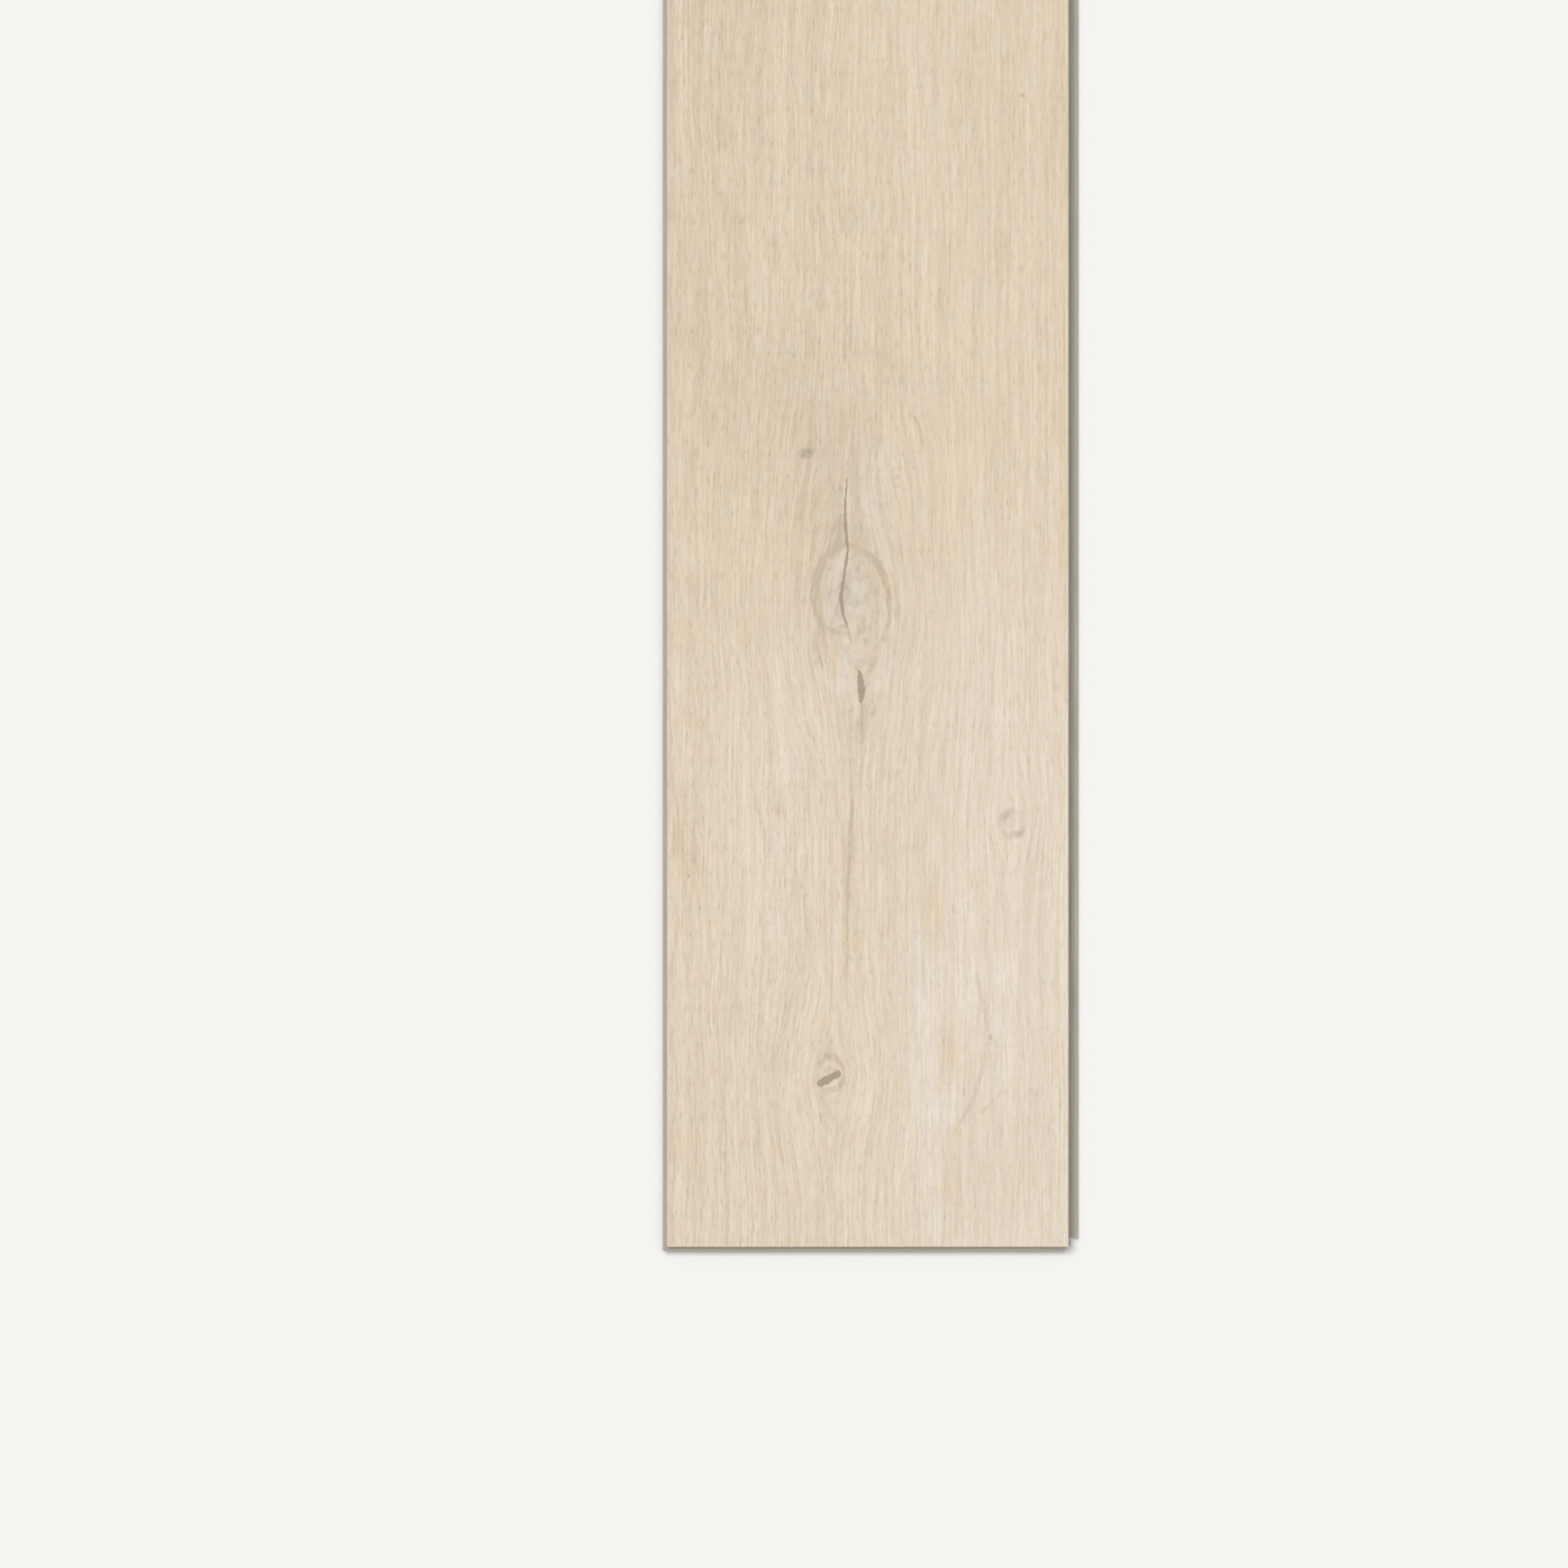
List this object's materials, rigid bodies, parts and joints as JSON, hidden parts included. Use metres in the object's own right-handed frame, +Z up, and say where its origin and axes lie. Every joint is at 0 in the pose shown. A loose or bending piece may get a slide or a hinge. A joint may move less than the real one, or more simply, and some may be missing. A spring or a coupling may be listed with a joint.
{
  "type": "luxury vinyl plank",
  "caption": "Long flat rigid floor plank with a pale oak face, bevelled edges, and a click-lock tongue, groove and lip milled along its sides and ends.",
  "frame": {"origin": "on the underside, below the middle of the decor face", "axes": "+X across the plank, towards the groove of its long side; +Y along the plank, towards the groove of its end; +Z up, out of the decor face"},
  "size_m": [0.2362, 1.5316, 0.006],
  "materials": {
    "vinyl": "matte"
  },
  "bodies": {
    "root": {"plank": "vinyl"}
  },
  "joints": []
}
